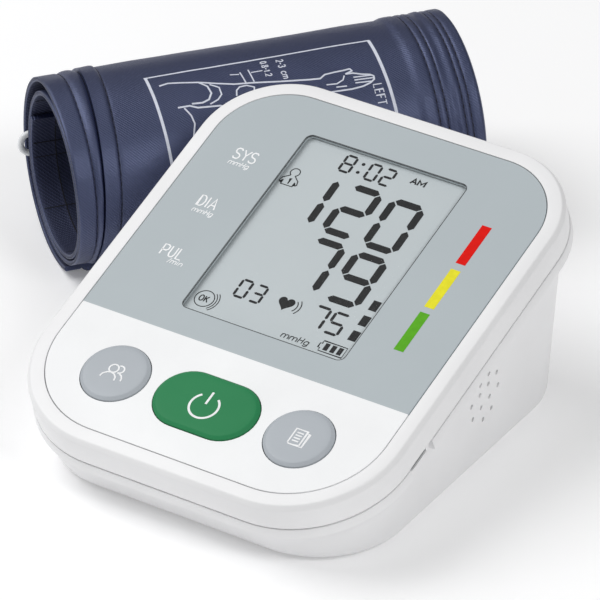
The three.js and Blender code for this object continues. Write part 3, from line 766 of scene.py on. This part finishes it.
BIG, MIDDLE, SMALL = (2.6, 0.3), (0.98, 0.1, 0.18), (0.85, 0.08, 0.16)
READINGS_AND_TIME = (
    ("1", -20.6, -8.75, 21.4, 43.6, 2.6, 0.35),
    ("2", -5.5, 7.2, 21.3, 43.4, *BIG),
    ("0", 10.05, 23.1, 21.0, 43.1, *BIG),
    ("7", -4.95, 7.85, -2.95, 19.25, *BIG),
    ("9", 10.5, 23.6, -3.2, 18.9, *BIG),
    ("8", -13.5, -8.95, 46.0, 53.7, *SMALL),
    ("0", -3.95, 0.45, 45.9, 53.5, *SMALL),
    ("2", 1.6, 6.0, 45.8, 53.4, *SMALL),
)
MEMORY_AND_PULSE = (
    ("0", -17.1, -12.55, -13.3, -5.4, *SMALL),
    ("3", -11.3, -6.95, -13.3, -5.5, *SMALL),
    ("7", 10.8, 16.75, -15.1, -5.6, *MIDDLE),
    ("5", 17.75, 23.5, -15.2, -5.7, *MIDDLE),
)


def figures(rows):
    return [segment for row in rows for segment in digit(*row)]


def display():
    polys = figures(READINGS_AND_TIME)
    polys += [disc_outline(-6.5, y, 0.62, 16) for y in (51.6, 47.9)]
    polys += figures(MEMORY_AND_PULSE)
    for i, v in enumerate((-1.45, -8.1, -14.7)):
        polys.append(bar(26.7 + i * 0.14, 29.5 + i * 0.14, v, v + 4.15))
    polys += lettering("AM", 11.7, 50.35, 2.2, 2.0, 0.55, 0.3)
    polys += lettering("mmHg", 6.5, -21.9, 2.3, 1.75, 0.27, 0.25, 0.12)
    polys += lettering("OK", -26.2, -18.85, 2.3, 1.45, 0.36, 0.3)
    polys += ribbon(arc_points(-24.4, -17.7, 3.3, 0, 360, 36)[:-1], 0.28, True)
    polys += ribbon(arc_points(-24.4, -17.7, 4.2, -52, 48, 14), 0.26)
    polys += ribbon(arc_points(-24.4, -17.7, 5.05, -50, 42, 14), 0.26)
    heart = []
    for i in range(36):
        t = 2 * math.pi * i / 36
        hx = 16 * math.sin(t) ** 3
        hy = 13 * math.cos(t) - 5 * math.cos(2 * t) - 2 * math.cos(3 * t) - math.cos(4 * t)
        heart.append((1.05 + hx * 0.18, -9.25 + hy * 0.185))
    polys.append(heart[::-1])
    polys += ribbon(arc_points(2.2, -9.4, 3.0, -42, 42, 12), 0.3)
    polys += ribbon(arc_points(2.2, -9.4, 4.2, -40, 40, 12), 0.3)
    polys += ribbon(arc_points(-25.5, 40.1, 1.65, -60, 240, 24), 0.3)
    half_body = [(-24.7, 38.7), (-23.6, 37.7), (-22.6, 36.9), (-22.2, 35.4), (-22.5, 34.9)]
    half_body += [(-23.0, 35.2), (-23.3, 36.2), (-23.4, 34.2)]
    polys += ribbon(half_body, 0.3) + ribbon([(-51.0 - x, y) for x, y in half_body], 0.3)
    polys += ribbon([(-23.4, 34.25), (-27.6, 34.25)], 0.3)
    polys += lettering("1", -26.0, 34.95, 2.5, 1.7, 0.38)
    battery = [(20.6, -17.9), (29.2, -17.9), (29.2, -22.1), (20.6, -22.1)]
    terminal = [(20.6, -20.9), (19.9, -20.9), (19.9, -19.1), (20.6, -19.1)]
    polys += ribbon(battery + terminal, 0.26, True)
    polys += [bar(x, x + 1.55, -21.4, -18.5) for x in (21.8, 24.3, 26.75)]
    marks("display_figures", sunk(polys, 1.66), -1.7, -1.64, SEGMENT)
    # A thin dark line of painted shade round the window, standing in for the shade along its edge.
    line = ribbon(window_outline(0.14, None, 10), 0.26, True)
    marks("window_shade_line", line, -0.02, 0.03, WINDOW_EDGE_SHADE)
    profile = ((-0.25, -1.1), (-0.2, -1.05), (-0.2, -0.55), (-0.25, -0.5))
    rings = [ring3(window_outline(margin, None, 10), z) for margin, z in profile]
    lens_piece = stack("display_lens", rings, CLEAR, "unit", FACE)
    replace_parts(lens_piece, "display_window")


ROW_WORDS = (
    ("SYS", 37.95, "mmHg", -48.6, 35.2),
    ("DIA", 15.75, "mmHg", -48.6, 12.9),
    ("PUL", -6.95, "/min", -44.2, -9.2),
)
LEVELS = (("red", 26.3, 43.4, RED), ("yellow", 6.6, 23.6, YELLOW), ("green", -12.4, 4.3, GREEN))


def prints():
    words = []
    for text, y, unit, unit_x, unit_y in ROW_WORDS:
        words += lettering(text, -48.6, y, 4.4, 2.4, 0.5, 0.24)
        words += lettering(unit, unit_x, unit_y, 1.9, 1.35, 0.26, 0.22, 0.15)
    marks("face_words", words, 0.0, 0.05, PRINT_WHITE)
    for name, low, high, material in LEVELS:
        marks(f"level_{name}", [bar(42.6, 46.1, low, high)], 0.0, 0.05, material)


# ---- cuff ------------------------------------------------------------------------------------------
# In the roll's frame x runs along it from its near end, y to the far side, and z up from its middle.
ROLL_LENGTH = 142
ROLL_FROM, ROLL_TO = 65, 930
LAST_TURN = 720
THICK = 1.7
FLOOR = -30.75


def roll_radius(angle):
    turn = math.radians(angle)
    up, out = math.cos(turn), math.sin(turn)
    height = 35.1 if up > 0 else 31
    side = 33.4 if out > 0 else 38
    oval = 1 / math.hypot(up / height, out / side)
    room = 3.6 * (1 + out) / 2 if angle < 630 else 0
    return oval - 2.2 * (ROLL_TO - angle) / 360 - room


def roll_point(s, angle, lift):
    """A point on the cloth: s along the roll, angle round it, lift off the outside of its turn."""
    turn = math.radians(angle)
    r = roll_radius(angle) + lift
    y, z = r * math.sin(turn), r * math.cos(turn)
    return (s, y, max(z, FLOOR))


def smooth(x, low, high):
    t = min(1.0, max(0.0, (x - low) / (high - low)))
    return t * t * (3 - 2 * t)


def groove(x, at, width, depth):
    return -depth * math.exp(-(((x - at) / width) ** 2))


SEAMS = (7.9, 20.3, 126.4, 129.2, 135.3, 137.5)
STRAP = 14.5


def around_roll(angle):
    """The angle from the top of the roll: above zero on the far side, below zero on the near side."""
    return (angle + 180) % 360 - 180


def along_roll(x, angle):
    """Where a line of the flat cloth lies: the near end's seams creep outwards down the near side."""
    down = 30 - around_roll(angle)
    creep = 0.052 * max(0, min(140, down))
    share = min(1, (x / STRAP) ** 2) if x < 21 else 1 - smooth(x, 21, 32)
    return x - creep * share


def outside(x, angle):
    """How far the outer cloth stands off, from its seams, bands and the slack between them."""
    lift = 0.95 * smooth(x, 14.47, 14.55) * (1 - 0.85 * smooth(x, 19.2, 21.2))
    if 7.9 < x < STRAP:
        lift += 0.55 * math.sin(math.pi * (x - 7.9) / (STRAP - 7.9)) - 0.45 * smooth(x, 12.6, 14.4)
    lift += 0.75 * smooth(x, 119.5, 122.5) * (1 - 0.85 * smooth(x, 129.4, 131.5))
    if 129.2 < x < 135.3:
        lift += 0.3 * math.sin(math.pi * (x - 129.2) / 6.1)
    lift += 0.6 * smooth(x, 132.4, 133.6)
    for at in SEAMS:
        lift += groove(x, at, 0.5, 0.45)
    around = around_roll(angle)
    if 22 < x < 119:
        lift += groove(around, 27.0, 0.8, 0.4)
    turn = math.radians(angle)
    wave = Vector((x * 0.035, math.sin(turn) * 2.2, math.cos(turn) * 2.2 + angle * 0.01))
    lift += 0.3 * noise.noise(wave) + 0.1 * noise.noise(wave * 3.1)
    pull = Vector((x * 0.15, angle * 0.1, 3.3))
    seams = math.exp(-(((x - 12) / 5) ** 2)) + math.exp(-(((x - 131) / 7) ** 2))
    lift += 0.3 * seams * noise.noise(pull)
    return lift


def cloth_grid():
    """Where the outer cloth has points along the roll: evenly spread, with extra ones at each seam."""
    spread = [0.35 + i * 0.8 for i in range(int((ROLL_LENGTH - 0.7) / 0.8) + 1)]
    kept = [x for x in spread if all(abs(x - at) > 0.6 for at in (*SEAMS, STRAP))]
    for at in SEAMS:
        kept += [at - 0.5, at - 0.2, at + 0.2, at + 0.5]
    kept += [STRAP - 0.45, STRAP - 0.04, STRAP + 0.05, STRAP + 0.3]
    return sorted(kept)


def is_painted_shade(a, b):
    """Whether the strip of cloth between two places of the grid takes the near-black painted shade of a
    seam's groove or of the strap edge's foot.
    """
    middle = (a + b) / 2
    return any(abs(middle - at) < 0.1 for at in SEAMS) or abs(middle - STRAP + 0.245) < 0.05


def lining_lift(s, angle):
    """How far the lining is from the outside of its turn, with its shallow folds and its seams."""
    fold = groove(s, 8.5, 0.5, -0.35) + groove(s, 13.5, 0.4, -0.25) + groove(s, 15.8, 0.4, -0.25)
    for at in (75, 91, 102, 118, 150, 270, 330, 405):
        fold += groove(angle, at, 0.8, -0.3)
    return -THICK - fold * 0.6


def cuff_cloth():
    """The rolled cuff: one sewn strip with a folded, bound edge at each end of the roll."""
    steps = 346
    verts, uvs = [], []
    outs = cloth_grid()
    ins = outs[::-1][::2]
    edge = [(0.05, -0.35), (0, -THICK / 2), (0.05, 0.35 - THICK)]
    along = 0.0
    last = None
    for k in range(steps + 1):
        angle = ROLL_FROM + (ROLL_TO - ROLL_FROM) * k / steps
        mid = roll_point(0, angle, -THICK / 2)
        if last is not None:
            along += math.dist(mid, last)
        last = mid
        ring = [(along_roll(x, angle), lift_at(x, angle)) for x in outs]
        ring += [(ROLL_LENGTH - inset, lift) for inset, lift in edge]
        ring += [(s, lining_lift(s, angle)) for s in ins]
        ring += edge[::-1]
        for s, lift in ring:
            verts.append(roll_point(s, angle, lift))
            uvs.append((s, along if lift > -THICK / 2 else -along))
    size = len(ring)
    strip = make("cuff_strip", verts, joined(steps + 1, size), CLOTH, "cuff", 60, ROLL, True, uvs)
    strip.data.materials.append(LINING)
    strip.data.materials.append(SEAM_SHADE)
    cloth, lining, painted_shade = 0, 1, 2
    # The seam strips and the strap edge's foot take the near-black painted shade.
    kinds = [painted_shade if is_painted_shade(a, b) else cloth for a, b in zip(outs, outs[1:])]
    kinds += [cloth, cloth, lining, cloth] + [lining] * (len(ins) - 1) + [cloth, lining, lining, cloth]
    for face in strip.data.polygons:
        face.material_index = kinds[face.index % size] if face.index < steps * size else cloth
    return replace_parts(strip, "cuff_outer_cloth", "cuff_lining", "cuff_bladder")


def lift_at(x, angle):
    """The outer cloth's lift; it lies closer where another turn covers it."""
    free = smooth(angle, 575, 600)
    return outside(x, angle) * (0.2 + 0.8 * free) - 0.05


def cuff_marks(name, polys, material):
    """Flat outlines given as (s, degrees from the top) laid on the outer cloth of the last turn."""

    def laid(poly, top):
        turned = [(x, angle + LAST_TURN) for x, angle in poly]
        return [roll_point(along_roll(x, a), a, lift_at(x, a) + top) for x, a in turned]

    verts, faces = slabs((laid(poly, -0.15), laid(poly, 0.07)) for poly in polys)
    return make(name, verts, faces, material, "cuff", place=ROLL, smooth=False)


MM_PER_DEGREE = 0.59


def cuff_line(points, width):
    """A line on the cloth through (s, degrees) points, in short pieces so that it follows the curve."""
    flat = [(s, a * MM_PER_DEGREE) for s, a in points]
    polys = []
    for a, b in zip(flat, flat[1:]):
        a, b = Vector(a), Vector(b)
        count = max(1, math.ceil((b - a).length / 1.6))
        along = (b - a).normalized()
        for i in range(count):
            p = a.lerp(b, i / count) - along * 0.08
            q = a.lerp(b, (i + 1) / count) + along * 0.08
            polys += ribbon([tuple(p), tuple(q)], width)
    return [[(s, y / MM_PER_DEGREE) for s, y in poly] for poly in polys]


CHART = (
    (1.0, [(33, -112), (33, -60), (32.6, -7)]),
    (0.6, [(32.1, -6.6), (111.3, -4.8)]),
    (1.1, [(111, -5), (112, -54), (112, -112)]),
    # the arm
    (0.6, [(36, -15), (39, -14), (43, -15), (49, -17), (55, -20), (60.5, -22.5)]),
    (0.6, [(60.5, -22.5), (66, -23.5), (76, -26), (86, -28), (89.5, -28.4)]),
    # the hand and its fingers
    (0.55, [(89.5, -28.4), (91.5, -26.2), (95, -25.6), (98, -25.4), (100.5, -25)]),
    (0.55, [(100.5, -25), (101, -26.6), (98.5, -28), (101, -28.2), (104, -30)]),
    (0.55, [(104, -30), (106.5, -31), (107.6, -32.4), (107.4, -34.4), (105.8, -36.2)]),
    (0.55, [(105.8, -36.2), (103, -37.6), (99, -38.2), (92, -38), (84, -39.5)]),
    (0.45, [(100.8, -31.0), (106.6, -31.6)]),
    (0.45, [(100.8, -32.9), (107.2, -33.4)]),
    (0.45, [(100.8, -34.8), (106.2, -35.4)]),
    (0.45, [(91, -33), (94.5, -33.4), (97, -31.5), (97.8, -29)]),
    (0.45, [(94, -35.5), (97.5, -35.8)]),
    # the cuff on the arm, and the lines under it
    (0.6, [(49, -17), (51.5, -21), (52, -26), (50.5, -30), (48, -31.4), (44.5, -31)]),
    (0.5, [(52.5, -20), (55.2, -23), (55.2, -28), (53.5, -31), (50.5, -33)]),
    (0.5, [(60, -30.5), (60.6, -27), (62, -25), (64.5, -24.8), (66.8, -26.8), (66, -31)]),
    (0.6, [(39.5, -32), (43.5, -32), (46, -34), (53.5, -35), (58, -38)]),
    (0.55, [(41.5, -33), (43, -38), (43.5, -43), (42.5, -48), (41, -56), (41.5, -66)]),
    # the distance to the elbow
    (0.4, [(60.5, -15), (63.4, -15.8)]),
    (0.45, [(64, -14.5), (64.6, -23)]),
    (0.45, [(67, -13.5), (67.4, -23)]),
    (0.4, [(67.7, -16), (71.5, -16)]),
)
CHART_WORDS = (("2-3 cm", 77.4, -9.5, 2.3), ("0.8-1.2", 72.0, -8.5, 2.1), ("LEFT", 106.4, -37.5, 3.0))


def cuff_prints():
    """A generic fitting chart: a frame, an arm with a cuff on it, and the distance to the elbow."""
    lines = []
    for width, points in CHART:
        lines += cuff_line(points, width)
    for words, s, angle, height in CHART_WORDS:
        for poly in lettering(words, 0, 0, height, height * 0.5, 0.36, 0.28):
            lines.append([(s + y, angle - x / MM_PER_DEGREE) for x, y in poly])
    cuff_marks("cuff_print", lines, CLOTH_PRINT)


def lining_seams():
    """The sewn lines that show on the inside of the innermost turn; their near-black colour is painted
    shade in the seams' grooves.
    """
    lines = []
    for s in (8.5, 15.8, 128, 136):
        lines += [(s - 0.2, s + 0.2, a, a + 4) for a in range(66, 424, 4)]
    for angle in (91, 104, 150, 214, 270, 330, 405):
        lines += [(0.8 + i * 4, 4.8 + i * 4, angle - 0.35, angle + 0.35) for i in range(35)]
    pairs = []
    for s0, s1, a0, a1 in lines:
        corners = ((s0, a0), (s1, a0), (s1, a1), (s0, a1))
        lifts = [(s, a, lining_lift(s, a)) for s, a in corners]
        pairs.append([[roll_point(s, a, lift + h) for s, a, lift in lifts] for h in (0.1, -0.1)])
    verts, faces = slabs(pairs)
    make("lining_seams", verts, faces, SEAM_SHADE, "cuff", place=ROLL, smooth=False)


def stitches():
    """Lock stitches along each seam that shows."""
    verts, faces = [], []

    def stitch(x0, a0, x1, a1):
        p = Vector(roll_point(along_roll(x0, a0), a0, lift_at(x0, a0) + 0.08))
        q = Vector(roll_point(along_roll(x1, a1), a1, lift_at(x1, a1) + 0.08))
        axis = (q - p).normalized()
        side = axis.orthogonal().normalized()
        faces.extend(joined(4, 6, len(verts)))
        for at, r in ((0, 0.07), (0.15, 0.17), (0.85, 0.17), (1, 0.07)):
            verts.extend(hoop(p.lerp(q, at), side, axis.cross(side), r, 6))

    for seam in SEAMS:
        angle = 590.0
        while angle < 915:
            a, b = angle, angle + 3.4
            if abs(around_roll(angle)) < 150:
                stitch(seam, a, seam, b)
            angle += 5.2
    x = 24.0
    while x < 116:
        stitch(x, 747, x + 1.9, 747)
        x += 2.9
    make("cuff_stitches", verts, faces, THREAD, "cuff", 60, ROLL)


def ring_point(s, out, down):
    """A point by the wire ring: s along the roll, out from the ring's plane, and down in that plane."""
    turn = math.radians(97)
    r = (roll_radius(817) - THICK + roll_radius(457)) / 2 + out
    return (s, r * math.sin(turn) - down * math.cos(turn), r * math.cos(turn) + down * math.sin(turn))


RING_REACH, RING_WIRE = 3.6, 1.1


def wire_ring():
    """The slim ring of wire that shows as a rounded end between the turns."""
    low, high = 1.5, ROLL_LENGTH - 1.5
    path = arc_points(low, 0, RING_REACH, 270, 90, 16) + arc_points(high, 0, RING_REACH, 90, -90, 16)
    verts, n = [], 14
    for i, (x, y) in enumerate(path):
        axis = (Vector(path[(i + 1) % len(path)]) - Vector(path[i - 1])).normalized()
        side = Vector((-axis.y, axis.x, 0))
        points = hoop(Vector((x, y, 0)), side, Vector((0, 0, 1)), RING_WIRE, n)
        verts += [ring_point(p.x, p.z, -p.y) for p in points]
    faces = joined(len(path), n, closed=True)
    ring = make("wire_ring", verts, faces, RING_STEEL, "cuff", 60, ROLL)
    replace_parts(ring, "cuff_ring")


def ring_sleeve():
    """The sewn loop of cloth round the ring's lower bar, with its tail, puckered along the seam."""
    start, end, count = 10.0, ROLL_LENGTH - 10.0, 90
    tail = [(-11.6, -1.56), (-9.0, -1.56), (-6.0, -1.56)]
    tail_back = [(-5.7, -0.8), (-6.6, -1.25), (-9.0, -1.31), (-11.6, -1.32)]
    section = tail + arc_points(-RING_REACH, 0, 1.55, -90, 155, 16) + tail_back
    verts, uvs = [], []
    for k in range(count + 1):
        s = start + (end - start) * k / count
        pucker = 0.05 * math.sin(s * 2.1) + 0.12 * noise.noise(Vector((s * 0.25, 1.7, 0)))
        walk = 0.0
        for j, (down, out) in enumerate(section):
            walk += math.dist(section[j - 1], (down, out)) if j else 0
            fold = pucker * max(0, out + 1.2) / 2.8
            verts.append(ring_point(s, out + fold * 0.6, fold - down))
            uvs.append((s, walk))
    faces = joined(count + 1, len(section))
    sleeve = make("ring_sleeve", verts, faces, CLOTH, "cuff", 60, ROLL, True, uvs)
    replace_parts(sleeve, "cuff_ring_sleeve")


def hook_tape():
    """The strip of hook tape under the free end, its face rough with rows of hooks."""
    start, end = 20.0, ROLL_LENGTH - 20.0
    columns, rows = 128, 46
    verts, faces = [], []
    for side in (0, 1):
        for k in range(rows + 1):
            angle = 885.5 + 40 * k / rows
            for i in range(columns + 1):
                s = start + (end - start) * i / columns
                hooks = 0.045 if (i + k) % 2 else -0.045
                verts.append(roll_point(s, angle, -THICK - (0.12 if side else 0.32 + hooks)))
    w = columns + 1
    sheet = (rows + 1) * w
    for k in range(rows):
        for i in range(columns):
            a = k * w + i
            faces.append((a, a + 1, a + w + 1, a + w))
            faces.append(tuple(sheet + v for v in (a + w, a + w + 1, a + 1, a)))
    edge = list(range(w)) + [k * w + columns for k in range(1, rows + 1)]
    edge += [rows * w + i for i in reversed(range(columns))] + [k * w for k in range(rows - 1, 0, -1)]
    for a, b in zip(edge, edge[1:] + edge[:1]):
        faces.append((a, b, sheet + b, sheet + a))
    tape = make("hook_tape", verts, faces, HOOK, "cuff", 30, ROLL)
    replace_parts(tape, "cuff_hook_patch")


# ---- floor and light -------------------------------------------------------------------------------
FLOOR_HALF = 4000


def studio():
    n = Nodes("floor")
    n.colour(3, 3, (0.93, 0.93, 0.935), (0.95, 0.95, 0.955))
    n.roughness(30, 3, 0.55, 0.65)
    n.fix("Emission Color", (1, 1, 1, 1))
    n.fix("Emission Strength", 0.14)
    corners = box_ring(-FLOOR_HALF, FLOOR_HALF, -FLOOR_HALF, FLOOR_HALF, 0)
    floor = make("floor", corners, [(0, 1, 2, 3)], n.material, None, smooth=False)
    world = bpy.data.worlds.new("studio")
    bpy.context.scene.world = world
    world.use_nodes = True
    background = world.node_tree.nodes["Background"]
    background.inputs["Color"].default_value = (1, 1, 1, 1)
    background.inputs["Strength"].default_value = 0.31
    area_light("key", (-1.0, -0.3, 1.45), (0, 0, 0), 1.4, 21.0)
    area_light("side", (1.16, -0.36, 1.18), (-0.02, 0.02, 0.04), 0.5, 7.0)


# ---- the CAD parts that stay -----------------------------------------------------------------------
FINISHES = (
    (LCD, "lcd_panel"),
    (DARK, "lcd_frame", "controller_chip", "pressure_sensor", "speaker", "air_inlet", "pump_crank"),
    (DARK, "user_switch", "power_switch", "memory_switch"),
    (RUBBER, "lcd_connector", "foot"),
    (BOARD, "main_board"),
    (STEEL, "power_socket", "pump_motor", "exhaust_valve", "case_screw", "contact_plate"),
    (STEEL, "battery_spring", "user_plunger", "power_plunger", "memory_plunger"),
    (WHITE, "battery_door", "pump_head", "air_manifold"),
    (FOAM, "pump_cradle"),
    (SILICONE, "cuff_air_port", "tube"),
    (CELL, "battery_1", "battery_2", "battery_3", "battery_4"),
)


def finish_cad():
    """Gives each CAD node the material whose row has the start of its name."""
    for name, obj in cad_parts.items():
        for material, *starts in FINISHES:
            if name.startswith(tuple(starts)):
                obj.data.materials.clear()
                obj.data.materials.append(material)


bpy.context.scene.view_settings.view_transform = "Standard"
camera()
studio()
finish_cad()
upper_housing()
face_panel()
lower_shell()
buttons()
display()
prints()
cuff_cloth()
cuff_prints()
lining_seams()
stitches()
wire_ring()
ring_sleeve()
hook_tape()
